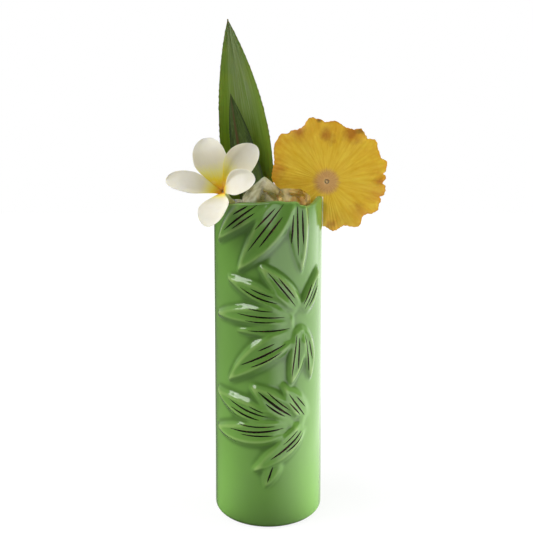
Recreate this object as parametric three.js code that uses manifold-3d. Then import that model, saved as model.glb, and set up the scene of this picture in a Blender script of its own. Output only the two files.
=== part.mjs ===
// Tiki mug dressed for serving: a tall slip-cast mug with raised leaf sprays, floating ice,
// two pineapple leaves, a plumeria flower and a dried pineapple wheel on the rim.
// Millimetres, +Z up, origin at the centre of the flat base; -Y is the front.

import * as THREE from 'three';
import { mergeVertices } from 'three/addons/utils/BufferGeometryUtils.js';
import { ParametricGeometry } from 'three/addons/geometries/ParametricGeometry.js';
import { RoundedBoxGeometry } from 'three/addons/geometries/RoundedBoxGeometry.js';
import Module from 'manifold-3d';

const wasm = await Module();
wasm.setup();

// ---------------------------------------------------------------- driving dimensions
const GAP = 0.3;

const MUG_HEIGHT = 190;
const BASE_RADIUS = 33;
const RIM_RADIUS = 32.2;
const BORE_RADIUS = 28.5;
const FLOOR = 6;
const FOOT_ROUND = 2.8;
const FLOOR_ROUND = 5;
const WALL_STEPS = 56;

// Rim height over the mug height, by arc distance from the front centre, over half a turn.
const RIM_WAVE = [
  [-44, 1.0], [-25, -1.0], [-13, 0.0], [-6, 0.0], [5, 1.0], [10.5, 0.3], [16.6, 0.5], [19, -1.5],
  [25, -2.1], [46, 2.7], [50, 0.4],
];

// Raised leaves of one half turn: base and tip as [arc distance, height], width, and bow to the
// right-hand side of the way from base to tip.
const RELIEF_HEIGHT = 2.2;
const RELIEF_ROOT = 1.2;
const RELIEF_LEVELS = 7;
const RELIEF_LEAVES = [
  // spray that hangs from the rim
  { base: [3, 194], tip: [-36, 168], width: 13, bow: 1 },
  { base: [12, 196], tip: [-18, 152], width: 16, bow: -2 },
  { base: [17, 197], tip: [20, 151.5], width: 12, bow: 0 },
  // middle spray
  { base: [18, 130], tip: [-4.5, 154.5], width: 10, bow: 0.5 },
  { base: [13, 130], tip: [-25.5, 147.5], width: 9.5, bow: 0.5 },
  { base: [13.5, 124.5], tip: [-37, 125], width: 10, bow: 2 },
  { base: [13.5, 119], tip: [-19.5, 117.5], width: 6, bow: 0 },
  { base: [14, 116], tip: [-25, 88], width: 14, bow: 1.5 },
  { base: [19, 117], tip: [13.5, 86.5], width: 9, bow: -1 },
  { base: [22, 117], tip: [28, 88], width: 8, bow: -2 },
  { base: [22, 128], tip: [36, 151.5], width: 8.5, bow: 1 },
  // lower spray
  { base: [4, 67], tip: [-38, 80], width: 12, bow: 0.5 },
  { base: [15, 67], tip: [-9.5, 86], width: 12, bow: 0 },
  { base: [24, 65], tip: [9, 86.5], width: 10, bow: 0 },
  { base: [12, 61], tip: [-38, 56], width: 13, bow: -1 },
  { base: [21, 60], tip: [-9, 35.5], width: 11, bow: -1 },
  { base: [5, 44], tip: [-1.5, 26], width: 8, bow: 0 },
];

// Pineapple leaves: spine from the cut end to the tip, widest level, width there and at the cut.
const LARGE_LEAF = {
  spine: [[-8, 12, 145], [-11.6, 13, 195], [-14, 14, 226], [-18.6, 15, 261], [-24.3, 17, 297]],
  widestAt: 212, width: 31, cutWidth: 20, channel: 4.5, thickness: 1.8,
};
const SMALL_LEAF = {
  spine: [[-3, 6.3, 158], [-8.5, 6.5, 190], [-16.2, 7, 225.5], [-21.6, 8, 250.5]],
  widestAt: 200, width: 17, cutWidth: 11, channel: 2.2, thickness: 1.6,
};
const LEAF_LEVELS = 16;

// Plumeria: five petals from one throat, and the slim tube behind it.
const THROAT = new THREE.Vector3(-26.4, -21, 196.4);
const FLOWER_FACING = new THREE.Vector3(-0.28, -0.85, 0.42).normalize();
const PETAL_TIPS = [
  { tip: [-34.4, -14, 225.5], width: 18.5 },
  { tip: [-6.6, -22, 221.3], width: 16 },
  { tip: [-7.7, -40, 204.8], width: 17 },
  { tip: [-33.6, -41, 177.9], width: 18 },
  { tip: [-56.6, -24, 201.5], width: 14 },
];
const PETAL_THICKNESS = 1.3;
const PETAL_ARCH = 4.5;
const TUBE_RADIUS = 1.9;
const TUBE_LENGTH = 20;

// Dried pineapple wheel, upright over the right side of the rim.
const WHEEL_CENTRE = new THREE.Vector3(36, 0, 204.8);
const WHEEL_RADIUS = 33.6;
const WHEEL_LOBES = 17;
const WHEEL_LOBE_DEPTH = 0.7;
const WHEEL_THICKNESS = 4;
const WHEEL_STEPS = 102;
const WALL_SLIT_WIDTH = 4.6;

// Ice cubes: centre, edge and turn in degrees about x, y and z.
const ICE_CUBES = [
  { at: [-2.4, -9, 188.3], edge: 20, turn: [-54.7, 5, 42] },
  { at: [15, -15, 187], edge: 17, turn: [20, 15, 35] },
  { at: [-18.5, -5, 183], edge: 13.5, turn: [15, 10, 20] },
  { at: [17, 14, 188], edge: 17, turn: [15, -20, 30] },
  { at: [-5, 21.5, 185], edge: 15, turn: [10, 5, 15] },
  { at: [-9, -12, 165], edge: 18, turn: [5, 10, 25] },
  { at: [12.5, -14.5, 165], edge: 18, turn: [10, -5, 50] },
  { at: [15.5, 14.5, 166], edge: 18, turn: [-5, 10, 40] },
];
const ICE_ROUNDING = 2;
const ICE_TOP = 204.5;

// Open spaces kept through the ice, so that each garnish draws straight out.
const LEAF_SPACE = { low: [-30, 3.6, 100], high: [4.5, 16.8, 260] };
const WHEEL_SPACE = { low: [1, -2.7, 150], high: [40, 2.7, 260] };

// ---------------------------------------------------------------- solids and booleans
function solidOf(geometry) {
  const bare = new THREE.BufferGeometry();
  bare.setAttribute('position', geometry.getAttribute('position'));
  bare.setIndex(geometry.getIndex());
  const merged = mergeVertices(bare, 1e-3);
  const index = merged.getIndex();
  const corners = [];
  for (let i = 0; i < index.count; i += 3) {
    const a = index.getX(i);
    const b = index.getX(i + 1);
    const c = index.getX(i + 2);
    if (a !== b && b !== c && c !== a) corners.push(a, b, c);
  }
  return new wasm.Manifold(new wasm.Mesh({
    numProp: 3,
    vertProperties: Float32Array.from(merged.getAttribute('position').array),
    triVerts: Uint32Array.from(corners),
  }));
}

function geometryOf(solid) {
  const mesh = solid.getMesh();
  const geometry = new THREE.BufferGeometry();
  geometry.setAttribute('position', new THREE.BufferAttribute(mesh.vertProperties, 3));
  geometry.setIndex(new THREE.BufferAttribute(mesh.triVerts, 1));
  return geometry;
}

function boxBetween(low, high) {
  const [x, y, z] = [0, 1, 2].map((axis) => high[axis] - low[axis]);
  const box = new THREE.BoxGeometry(x, y, z);
  box.translate(low[0] + x / 2, low[1] + y / 2, low[2] + z / 2);
  return solidOf(box);
}

// A rod of round section between two points.
function rod(from, to, radius, sides = 16) {
  const length = from.distanceTo(to);
  const geometry = new THREE.CylinderGeometry(radius, radius, length, sides);
  geometry.applyQuaternion(new THREE.Quaternion().setFromUnitVectors(
    new THREE.Vector3(0, 1, 0), to.clone().sub(from).normalize()));
  geometry.translate(...from.clone().add(to).multiplyScalar(0.5).toArray());
  return solidOf(geometry);
}

// A closed skin through rings of points. place(level, point) gives the position of ring point
// number `point` at level 0..levels; the first and last rings each shrink to one point.
function closedSkin(levels, points, place) {
  const target = new THREE.Vector3();
  const skin = new ParametricGeometry((v, u, out) => {
    const level = Math.round(u * levels);
    const point = Math.round(v * points) % points;
    out.copy(place(level, point, target));
  }, points, levels);
  return solidOf(skin);
}

// ---------------------------------------------------------------- mug
function outerRadius(z) {
  return THREE.MathUtils.lerp(BASE_RADIUS, RIM_RADIUS, z / MUG_HEIGHT);
}

const HALF_TURN = Math.PI * BASE_RADIUS;

function rimHeight(arc) {
  const first = RIM_WAVE[0][0];
  const local = first + THREE.MathUtils.euclideanModulo(arc - first, HALF_TURN);
  const knots = [...RIM_WAVE, [first + HALF_TURN, RIM_WAVE[0][1]]];
  const next = knots.findIndex((knot) => knot[0] > local);
  const [a, b] = [knots[next - 1], knots[next]];
  return MUG_HEIGHT + THREE.MathUtils.lerp(
    a[1], b[1], THREE.MathUtils.smoothstep(local, a[0], b[0]));
}

function onWall(arc, z, lift, out) {
  const angle = arc / BASE_RADIUS;
  const r = outerRadius(z) + lift;
  return out.set(r * Math.sin(angle), -r * Math.cos(angle), z);
}

function mugWall() {
  const top = MUG_HEIGHT + 6;
  const profile = [new THREE.Vector2(0, 0)];
  for (let step = 0; step <= 3; step += 1) {
    const angle = (step / 3) * Math.PI / 2;
    profile.push(new THREE.Vector2(
      BASE_RADIUS - FOOT_ROUND + FOOT_ROUND * Math.sin(angle),
      FOOT_ROUND - FOOT_ROUND * Math.cos(angle)));
  }
  profile.push(new THREE.Vector2(outerRadius(top), top), new THREE.Vector2(BORE_RADIUS, top));
  for (let step = 0; step <= 3; step += 1) {
    const angle = (step / 3) * Math.PI / 2;
    profile.push(new THREE.Vector2(
      BORE_RADIUS - FLOOR_ROUND + FLOOR_ROUND * Math.cos(angle),
      FLOOR + FLOOR_ROUND - FLOOR_ROUND * Math.sin(angle)));
  }
  profile.push(new THREE.Vector2(0, FLOOR));
  const wall = new THREE.LatheGeometry(profile, WALL_STEPS);
  wall.rotateX(Math.PI / 2);
  return solidOf(wall);
}

// Cross-section of a raised leaf: [share of half width, share of height]; two ridges and a
// shallow hollow between them, closed below the wall's surface.
const LEAF_SECTION = [[-1, null], [-0.96, 0], [-0.68, 1], [0, 0.66], [0.68, 1], [0.96, 0], [1, null]];

function reliefLeaf({ base, tip, width, bow }, halfTurn) {
  const along = new THREE.Vector2(tip[0] - base[0], tip[1] - base[1]);
  const across = new THREE.Vector2(along.y, -along.x).normalize();
  return closedSkin(RELIEF_LEVELS, LEAF_SECTION.length, (level, point, out) => {
    const u = level / RELIEF_LEVELS;
    const swell = Math.min(1, 1.3 * Math.sin(Math.PI * u) ** 0.6);
    const half = (width / 2) * Math.sin(Math.PI * u ** 0.8) ** 0.7;
    const [side, share] = LEAF_SECTION[point];
    const shift = bow * Math.sin(Math.PI * u) + side * half;
    const above = share === null ? -RELIEF_ROOT : share * RELIEF_HEIGHT;
    return onWall(
      base[0] + along.x * u + across.x * shift + halfTurn * HALF_TURN,
      base[1] + along.y * u + across.y * shift,
      THREE.MathUtils.lerp(-RELIEF_ROOT, above, swell), out);
  });
}

// A thick lid whose underside follows the rim, to trim wall and leaves together.
function rimTrim() {
  const reach = BASE_RADIUS + 12;
  const middle = (BORE_RADIUS + RIM_RADIUS) / 2;
  const lid = new THREE.CylinderGeometry(reach, reach, 30, WALL_STEPS);
  lid.rotateX(Math.PI / 2);
  lid.translate(0, 0, MUG_HEIGHT + 15);
  const place = lid.getAttribute('position');
  for (let i = 0; i < place.count; i += 1) {
    const x = place.getX(i);
    const y = place.getY(i);
    const onUnderside = place.getZ(i) < MUG_HEIGHT + 15;
    if (onUnderside && Math.hypot(x, y) > 1) {
      const arc = Math.atan2(x, -y) * BASE_RADIUS;
      place.setZ(i, MUG_HEIGHT + (rimHeight(arc) - MUG_HEIGHT) * (reach / middle));
    }
  }
  return solidOf(lid);
}

function mugBody() {
  let mug = mugWall();
  for (const halfTurn of [0, 1]) {
    for (const leaf of RELIEF_LEAVES) mug = mug.add(reliefLeaf(leaf, halfTurn));
  }
  return mug.subtract(rimTrim());
}

// ---------------------------------------------------------------- pineapple leaves
function pineappleLeaf({ spine, widestAt, width, cutWidth, channel, thickness }) {
  const curve = new THREE.CatmullRomCurve3(spine.map((point) => new THREE.Vector3(...point)));
  const cutLevel = spine[0][2];
  const tipLevel = spine[spine.length - 1][2];
  const across = [-1, -0.5, 0, 0.5, 1];
  const points = across.length * 2;
  const centre = new THREE.Vector3();
  return closedSkin(LEAF_LEVELS, points, (level, point, out) => {
    const share = Math.max(0, level - 1) / (LEAF_LEVELS - 1);
    curve.getPoint(share, centre);
    const toTip = Math.max(0, (centre.z - widestAt) / (tipLevel - widestAt));
    const toCut = Math.max(0, (widestAt - centre.z) / (widestAt - cutLevel));
    const full = THREE.MathUtils.lerp(width * (1 - toTip ** 2.1), cutWidth, toCut);
    const shrink = level === 0 || level === LEAF_LEVELS ? 0 : 1;
    const front = point < across.length;
    const t = front ? across[point] : across[points - 1 - point];
    const half = shrink * (full / 2);
    const skin = shrink * (thickness / 2) * (1 - 0.55 * t * t) * (front ? -1 : 1);
    const cup = shrink * channel * t * t * Math.min(1, full / width);
    return out.set(centre.x + half * t, centre.y - cup + skin, centre.z);
  });
}

// ---------------------------------------------------------------- plumeria
function petal({ tip, width }) {
  const levels = 9;
  const end = new THREE.Vector3(...tip);
  const along = end.clone().sub(THROAT);
  const side = along.clone().cross(FLOWER_FACING).normalize();
  const rise = side.clone().cross(along).normalize();
  const curve = new THREE.QuadraticBezierCurve3(
    THROAT, THROAT.clone().addScaledVector(along, 0.45).addScaledVector(rise, PETAL_ARCH), end);
  const across = [-1, -0.5, 0, 0.5, 1];
  const points = across.length * 2;
  return closedSkin(levels, points, (level, point, out) => {
    const u = level / levels;
    const ends = level === 0 || level === levels ? 0 : 1;
    const front = point < across.length;
    const t = front ? across[point] : across[points - 1 - point];
    const half = ends * (width / 2) * Math.sin(Math.PI * u ** 1.35) ** 0.62;
    const skin = ends * (PETAL_THICKNESS / 2) * (1 - 0.5 * t * t) * (front ? 1 : -1);
    curve.getPoint(u, out);
    return out.addScaledVector(side, half * t).addScaledVector(rise, 0.22 * half * t * t + skin);
  });
}

function tubeEnd() {
  return THROAT.clone().addScaledVector(FLOWER_FACING, -TUBE_LENGTH);
}

function plumeria() {
  const mouth = THROAT.clone().addScaledVector(FLOWER_FACING, 1.5);
  let flower = rod(tubeEnd(), mouth, TUBE_RADIUS, 12);
  for (const one of PETAL_TIPS) flower = flower.add(petal(one));
  return flower;
}

// ---------------------------------------------------------------- pineapple wheel
function pineappleWheel() {
  const outline = new THREE.Shape();
  for (let step = 0; step < WHEEL_STEPS; step += 1) {
    const angle = (step / WHEEL_STEPS) * 2 * Math.PI;
    const r = WHEEL_RADIUS + WHEEL_LOBE_DEPTH * Math.cos(WHEEL_LOBES * angle);
    outline[step ? 'lineTo' : 'moveTo'](r * Math.cos(angle), r * Math.sin(angle));
  }
  outline.closePath();
  const slice = new THREE.ExtrudeGeometry(outline, { depth: WHEEL_THICKNESS, bevelEnabled: false });
  slice.translate(0, 0, -WHEEL_THICKNESS / 2);
  slice.rotateX(Math.PI / 2);
  slice.translate(...WHEEL_CENTRE.toArray());
  const wallMiddle = (BORE_RADIUS + RIM_RADIUS) / 2;
  // the rim slopes under the wheel, so its height is taken at the wheel's front face
  const slitTop = rimHeight(HALF_TURN / 2 - WHEEL_THICKNESS) + GAP;
  const slit = boxBetween(
    [wallMiddle - WALL_SLIT_WIDTH / 2, -WHEEL_THICKNESS, WHEEL_CENTRE.z - WHEEL_RADIUS - 5],
    [wallMiddle + WALL_SLIT_WIDTH / 2, WHEEL_THICKNESS, slitTop]);
  return solidOf(slice).subtract(slit);
}

// ---------------------------------------------------------------- ice
function cubeBlank({ at, edge, turn }, growth = 0) {
  const size = edge + growth;
  const blank = new RoundedBoxGeometry(size, size, size, 1, ICE_ROUNDING);
  blank.applyQuaternion(new THREE.Quaternion().setFromEuler(
    new THREE.Euler(...turn.map(THREE.MathUtils.degToRad))));
  blank.translate(...at);
  return solidOf(blank);
}

// Where ice may be: inside the bore, below the top level, clear of every garnish's way out.
function iceSpace() {
  const bore = new THREE.CylinderGeometry(BORE_RADIUS - GAP, BORE_RADIUS - GAP, 90, 48);
  bore.rotateX(Math.PI / 2);
  bore.translate(0, 0, ICE_TOP - 45);
  const tubeWay = rod(
    tubeEnd().addScaledVector(FLOWER_FACING, -GAP * 2),
    THROAT.clone().addScaledVector(FLOWER_FACING, 20), TUBE_RADIUS + GAP * 2);
  return solidOf(bore)
    .subtract(boxBetween(LEAF_SPACE.low, LEAF_SPACE.high))
    .subtract(boxBetween(WHEEL_SPACE.low, WHEEL_SPACE.high))
    .subtract(tubeWay);
}

function iceCubes() {
  let space = iceSpace();
  return ICE_CUBES.map((cube) => {
    const piece = cubeBlank(cube).intersect(space);
    space = space.subtract(cubeBlank(cube, 2 * GAP));
    return piece;
  });
}

// ---------------------------------------------------------------- assembly
const finishes = {
  glaze: { color: 0x6f9a52, roughness: 0.12, metalness: 0 },
  ice: { color: 0xc9c4a4, roughness: 0.1, metalness: 0, transparent: true, opacity: 0.7 },
  leaf: { color: 0x4f6a14, roughness: 0.45, metalness: 0 },
  petal: { color: 0xe8e4d4, roughness: 0.55, metalness: 0 },
  fruit: { color: 0xc79a28, roughness: 0.6, metalness: 0 },
};

const group = new THREE.Group();

function place(name, solid, finish) {
  const material = new THREE.MeshStandardMaterial({ ...finishes[finish], flatShading: true });
  const mesh = new THREE.Mesh(geometryOf(solid), material);
  mesh.name = name;
  group.add(mesh);
}

place('mug_body', mugBody(), 'glaze');
iceCubes().forEach((cube, i) => place(`ice_cube_${i + 1}`, cube, 'ice'));
place('pineapple_leaf_large', pineappleLeaf(LARGE_LEAF), 'leaf');
place('pineapple_leaf_small', pineappleLeaf(SMALL_LEAF), 'leaf');
place('plumeria_flower', plumeria(), 'petal');
place('pineapple_wheel', pineappleWheel(), 'fruit');

export default group;
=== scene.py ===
import math

import bpy
import numpy as np
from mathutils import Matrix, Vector


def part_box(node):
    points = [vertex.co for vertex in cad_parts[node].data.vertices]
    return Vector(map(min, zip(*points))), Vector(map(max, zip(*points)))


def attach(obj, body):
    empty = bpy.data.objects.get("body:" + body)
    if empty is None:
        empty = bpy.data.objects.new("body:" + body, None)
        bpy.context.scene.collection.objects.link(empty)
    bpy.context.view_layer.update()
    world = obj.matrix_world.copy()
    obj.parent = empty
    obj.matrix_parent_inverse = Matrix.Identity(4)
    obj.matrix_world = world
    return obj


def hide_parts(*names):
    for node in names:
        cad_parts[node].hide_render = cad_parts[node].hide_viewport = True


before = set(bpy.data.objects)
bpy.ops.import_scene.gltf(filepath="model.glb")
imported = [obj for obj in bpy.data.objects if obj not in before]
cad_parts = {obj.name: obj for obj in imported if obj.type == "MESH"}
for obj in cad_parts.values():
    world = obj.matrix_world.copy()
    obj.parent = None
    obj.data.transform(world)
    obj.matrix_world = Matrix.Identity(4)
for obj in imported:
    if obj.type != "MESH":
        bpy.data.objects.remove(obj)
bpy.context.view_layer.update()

# Lengths below are in millimetres unless they say otherwise; meshes are scaled to metres.
MM = 0.001
# Start phases of the random waves are drawn from this range.
WAVE_TURN = 6.28


# ------------------------------------------------------------------ the frame's own sizes
def box_mm(node):
    low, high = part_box(node)
    return np.array(low) / MM, np.array(high) / MM


BASE_RADIUS = box_mm("mug_body")[1][0]
MUG_HEIGHT = 190.0
RIM_RADIUS = BASE_RADIUS - 0.8
BORE_RADIUS = 28.5
FLOOR = 6.0
FOOT_ROUND = 2.8
FLOOR_ROUND = 5.0
HALF_TURN = math.pi * BASE_RADIUS

# The camera, and its distance from the wall's front.
EYE = (-1.1, -385, 205)
EYE_TILT = 8.1
LENS = 43.57
EYE_DISTANCE = -EYE[1] - BASE_RADIUS

# Rim height over the mug height, by arc distance from the front centre, over half a turn.
RIM_WAVE = [(-44, 1.0), (-25, -1.0), (-13, 0.0), (-6, 0.0), (5, 1.0), (10.5, 0.3), (16.6, 0.5),
            (19, -1.5), (25, -2.1), (46, 2.7), (50, 0.4)]

# Raised leaves of one half turn, as read: base and tip as (arc distance, height) of the wall point
# they are seen over, width and bow to the right-hand side; `soft` widens the edges and `lean` raises
# the left side over the right one, seen from the base. Strokes are the painted lines: from, to, width
# and, where they sag, by how much.
READ_RELIEF = [
    dict(base=(3, 194), tip=(-36, 168), width=13, bow=1, strokes=[
        ((-21.7, 183), (-12, 188), 1.0), ((-29.7, 174), (-6.3, 188.7), 1.1),
        ((-22.7, 175), (-7.7, 184.2), 1.0)]),
    dict(base=(12, 196), tip=(-18, 152), width=16, bow=-2, strokes=[
        ((-7.7, 175), (3.7, 186.7), 1.0), ((-12, 163), (8.7, 189), 1.0),
        ((-5.3, 165.3), (8, 182), 1.1)]),
    dict(base=(17, 197), tip=(20, 151.5), width=11.5, bow=0, height=2.2, lean=-0.4, strokes=[
        ((14, 167), (14.9, 183), 1.0), ((18.3, 160.3), (17.5, 187.7), 1.1),
        ((21.7, 166.3), (20.7, 185.7), 1.0)]),
    dict(base=(18, 130), tip=(-4.5, 154.5), width=10, bow=0.5, strokes=[
        ((-0.3, 151.3), (16.7, 131.3), 0.9), ((5.7, 148.3), (15.9, 136.3), 0.9)]),
    dict(base=(13, 130), tip=(-25.5, 147.2), width=9, bow=0.5, soft=1.5, strokes=[
        ((-17, 142.5), (5.1, 133.7), 0.9, 1.3), ((-10.6, 142), (2.6, 137.2), 0.8, 0.4)]),
    dict(base=(13.5, 124.5), tip=(-37, 125), width=9.5, bow=2, soft=1.5, strokes=[
        ((-12.3, 130.7), (2.7, 129.1), 0.7, 0.3), ((-19.3, 127.4), (9.7, 125.7), 0.9, 0.7),
        ((-13.9, 123.7), (4, 123.1), 0.7, 0.4)]),
    dict(base=(13.5, 119), tip=(-19.5, 117.5), width=6, bow=0, height=1.7, strokes=[
        ((-12.3, 117.8), (13, 119), 0.8, 0.5)]),
    dict(base=(14, 116), tip=(-25, 88), width=13.5, bow=1.5, soft=1.5, height=2.9, strokes=[
        ((-6, 106.5), (3.6, 110.8), 0.8), ((-16.7, 97.5), (10, 110.5), 1.1, 0.4),
        ((-10.2, 96.9), (7.4, 105.9), 0.9, 0.6)]),
    dict(base=(19, 117), tip=(13.5, 86.5), width=9, bow=-1, strokes=[
        ((14, 91), (17.5, 115), 1.0), ((18.3, 95), (19.5, 113), 0.9)]),
    dict(base=(22, 117), tip=(28, 88), width=8, bow=-2, strokes=[
        ((24, 113.7), (27, 92.3), 0.9), ((27, 110.3), (29.9, 99), 0.8)]),
    dict(base=(22, 128), tip=(36, 151.5), width=8.5, bow=1, strokes=[
        ((22.5, 132), (29, 143), 0.8), ((24, 129.3), (34.7, 145.7), 0.8),
        ((27, 130.7), (35.3, 141.7), 0.7)]),
    dict(base=(4, 66.5), tip=(-38, 78.9), width=11, bow=-0.3, soft=1.6, height=3, strokes=[
        ((-11.3, 73.8), (-2.8, 70.3), 0.8, 0.3), ((-25.7, 76.2), (-0.4, 67.6), 1.0, 0.9),
        ((-23.5, 71.7), (-5.3, 65.9), 0.9, 0.5)]),
    dict(base=(15, 67), tip=(-9.5, 85), width=12, bow=0, soft=1.5, height=2.7, strokes=[
        ((-0.7, 82.7), (13, 71), 0.8, 0.4), ((-6, 82.7), (14, 67.3), 1.4, 0.6),
        ((-1.7, 75.8), (10, 67.7), 1.0, 0.5)]),
    dict(base=(24, 65), tip=(9.5, 85.6), width=10, bow=0, soft=1.7, height=2.4, lean=-0.3, strokes=[
        ((17.3, 78.7), (24.3, 71.1), 0.7), ((12.3, 80.7), (24, 66), 1.0, 0.4),
        ((12.3, 75.7), (20.3, 67), 0.9)]),
    dict(base=(12, 61), tip=(-38, 56), width=13, bow=-1, soft=1.4, height=2.9, strokes=[
        ((-18, 62.3), (3.6, 62.3), 0.8, 0.5), ((-24.6, 58.3), (9, 60.7), 1.2, 1.0),
        ((-17.1, 56.3), (2.9, 56.7), 0.8, 0.3)]),
    dict(base=(21, 60), tip=(-7.9, 35.8), width=10.5, bow=-1, soft=1.6, height=2.9, strokes=[
        ((8.7, 50.7), (18.3, 58.3), 0.7, 0.3), ((1.3, 42.3), (21.3, 57.1), 1.2, 0.7),
        ((10.3, 46.2), (22.6, 55.5), 0.8, 0.8)]),
    dict(base=(5, 44), tip=(-1.5, 26), width=9, bow=0, soft=1.4, height=1.9, strokes=[
        ((2.7, 37.7), (-0.7, 28), 1.0)]),
]
LEAF_STANDOFF = 1.2
STROKE_STANDOFF = 2.2
# Where the leaves of a spray meet: swellings and dimples as (arc distance, height, spread
# sideways, spread upwards, rise).
KNOTS = [(13.4, 122.5, 1.3, 4.5, 1.1), (19.6, 118.4, 2.3, 1.4, 1.3), (19, 127.6, 2.2, 2.0, -0.9),
         (16.2, 116.4, 1.8, 2.6, 0.8), (13.6, 63.6, 2.6, 2.2, 1.0), (18.2, 66.4, 2.0, 1.8, -1.0),
         (20.5, 62.3, 2.2, 1.8, 0.6), (15.8, 60.2, 2.0, 2.6, 0.9)]
RELIEF_HEIGHT = 2.6
RELIEF_CUP = 0.36
RIDGE_INSET = 1.4
SKIRT = 2.0
SOFTNESS = 0.8
BASE_FADE = 9.0
BASE_SHARE = 0.16
BASE_RAMP = 0.6
MAP_STEP = 0.3
MAP_TOP = 200


# ------------------------------------------------------------------ small tools
def smoothstep(low, high, x):
    t = np.clip((x - low) / (high - low), 0, 1)
    return t * t * (3 - 2 * t)


def srgb(red, green, blue):
    """Linear colour of an 8-bit display colour."""
    share = np.array([red, green, blue]) / 255
    return tuple(np.where(share <= 0.04045, share / 12.92, ((share + 0.055) / 1.055) ** 2.4).tolist())


def unit(vector):
    vector = np.asarray(vector, float)
    return vector / np.linalg.norm(vector, axis=-1, keepdims=True)


def catmull_rom(knots, share):
    """Points at `share` of a smooth curve through the knots, evenly spaced by knot."""
    knots = np.asarray(knots, float)
    padded = np.vstack([2 * knots[0] - knots[1], knots, 2 * knots[-1] - knots[-2]])
    place = np.clip(share, 0, 1) * (len(knots) - 1)
    first = np.minimum(place.astype(int), len(knots) - 2)
    t = (place - first)[:, None]
    a, b, c, d = (padded[first + k] for k in range(4))
    return 0.5 * (2 * b + (c - a) * t + (2 * a - 5 * b + 4 * c - d) * t ** 2
                  + (3 * b - a - 3 * c + d) * t ** 3)


def eased(knots, period, place):
    """A curve that eases from knot to knot, each (place, value), and repeats after `period`."""
    first = knots[0][0]
    local = first + np.mod(np.asarray(place, float) - first, period)
    value = np.zeros_like(local)
    for (a, low), (b, high) in zip(knots, knots[1:] + [(first + period, knots[0][1])]):
        inside = (local >= a) & (local < b)
        value = np.where(inside, low + (high - low) * smoothstep(a, b, local), value)
    return value


def grid_quads(rows, cols, around=False, first=0):
    """Quads of a grid of points stored row by row; `around` joins the last column to the first."""
    r, c = np.meshgrid(np.arange(rows - 1), np.arange(cols if around else cols - 1), indexing="ij")
    d = (c + 1) % cols
    quads = np.stack([r * cols + c, r * cols + d, (r + 1) * cols + d, (r + 1) * cols + c], -1)
    return first + quads.reshape(-1, 4)


def border_ring(rows, cols):
    """The points along the four sides of such a grid, once round."""
    sides = ([(0, c) for c in range(cols)] + [(r, cols - 1) for r in range(1, rows)]
             + [(rows - 1, c) for c in range(cols - 2, -1, -1)] + [(r, 0) for r in range(rows - 2, 0, -1)])
    return np.array([r * cols + c for r, c in sides])


def make_mesh(name, points, quads, tris=(), attributes=None):
    """A smooth mesh object from millimetre points, with optional named float attributes."""
    mesh = bpy.data.meshes.new(name)
    faces = [tuple(f) for f in np.asarray(quads).tolist()] + [tuple(f) for f in tris]
    mesh.from_pydata((np.asarray(points) * MM).tolist(), [], faces)
    mesh.polygons.foreach_set("use_smooth", np.ones(len(mesh.polygons), bool))
    for key, values in (attributes or {}).items():
        layer = mesh.attributes.new(key, "FLOAT", "POINT")
        layer.data.foreach_set("value", np.asarray(values, np.float32).ravel())
    mesh.update()
    thing = bpy.data.objects.new(name, mesh)
    bpy.context.scene.collection.objects.link(thing)
    return thing


def sheet_mesh(name, front, back, attributes=None):
    """A closed thin body between two grids of points, front and back, each (rows, cols, 3)."""
    rows, cols = front.shape[:2]
    count = rows * cols
    quads = [grid_quads(rows, cols), grid_quads(rows, cols, first=count)[:, ::-1]]
    ring = border_ring(rows, cols)
    after = np.roll(ring, -1)
    quads.append(np.stack([after, ring, ring + count, after + count], -1))
    points = np.concatenate([front.reshape(-1, 3), back.reshape(-1, 3)])
    doubled = {k: np.concatenate([np.ravel(v), np.ravel(v)]) for k, v in (attributes or {}).items()}
    return make_mesh(name, points, np.concatenate(quads), attributes=doubled)


def apply_modifiers(thing):
    bpy.context.view_layer.update()
    made = thing.evaluated_get(bpy.context.evaluated_depsgraph_get())
    result = bpy.data.meshes.new_from_object(made)
    thing.modifiers.clear()
    thing.data = result


def finish_piece(thing, material, body, nodes):
    thing.data.materials.append(material)
    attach(thing, body)
    if nodes:
        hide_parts(*nodes)


# ------------------------------------------------------------------ camera and studio
def make_camera():
    data = bpy.data.cameras.new("camera")
    data.sensor_width = 36
    data.lens = LENS
    camera = bpy.data.objects.new("camera", data)
    camera.location = Vector(EYE) * MM
    camera.rotation_euler = (math.radians(90 - EYE_TILT), 0, 0)
    bpy.context.scene.collection.objects.link(camera)
    bpy.context.scene.camera = camera


def area_light(name, place, aim, size, radiance, fade=None, mirrored=True):
    """A rectangular softbox; its power is worked out from how bright its face is. `fade` gives the
    brightness across its width as stops of (place, share). One that is not `mirrored` only fills."""
    data = bpy.data.lights.new(name, "AREA")
    data.shape = "RECTANGLE"
    data.size, data.size_y = size
    data.energy = radiance * math.pi * size[0] * size[1]
    if fade:
        data.use_nodes = True
        tree = data.node_tree
        across = tree.nodes.new("ShaderNodeSeparateXYZ")
        tree.links.new(tree.nodes.new("ShaderNodeNewGeometry").outputs["Parametric"], across.inputs[0])
        curve = tree.nodes.new("ShaderNodeValToRGB")
        curve.color_ramp.interpolation = "EASE"
        while len(curve.color_ramp.elements) < len(fade):
            curve.color_ramp.elements.new(0.5)
        for element, (place_across, share) in zip(curve.color_ramp.elements, fade):
            element.position = place_across
            element.color = (share, share, share, 1)
        tree.links.new(across.outputs[0], curve.inputs[0])
        tree.links.new(curve.outputs["Color"], tree.nodes["Emission"].inputs["Strength"])
    lamp = bpy.data.objects.new(name, data)
    lamp.location = place
    lamp.rotation_euler = (Vector(aim) - Vector(place)).to_track_quat("-Z", "Y").to_euler()
    lamp.visible_camera = False
    lamp.visible_glossy = mirrored
    bpy.context.scene.collection.objects.link(lamp)


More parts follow.
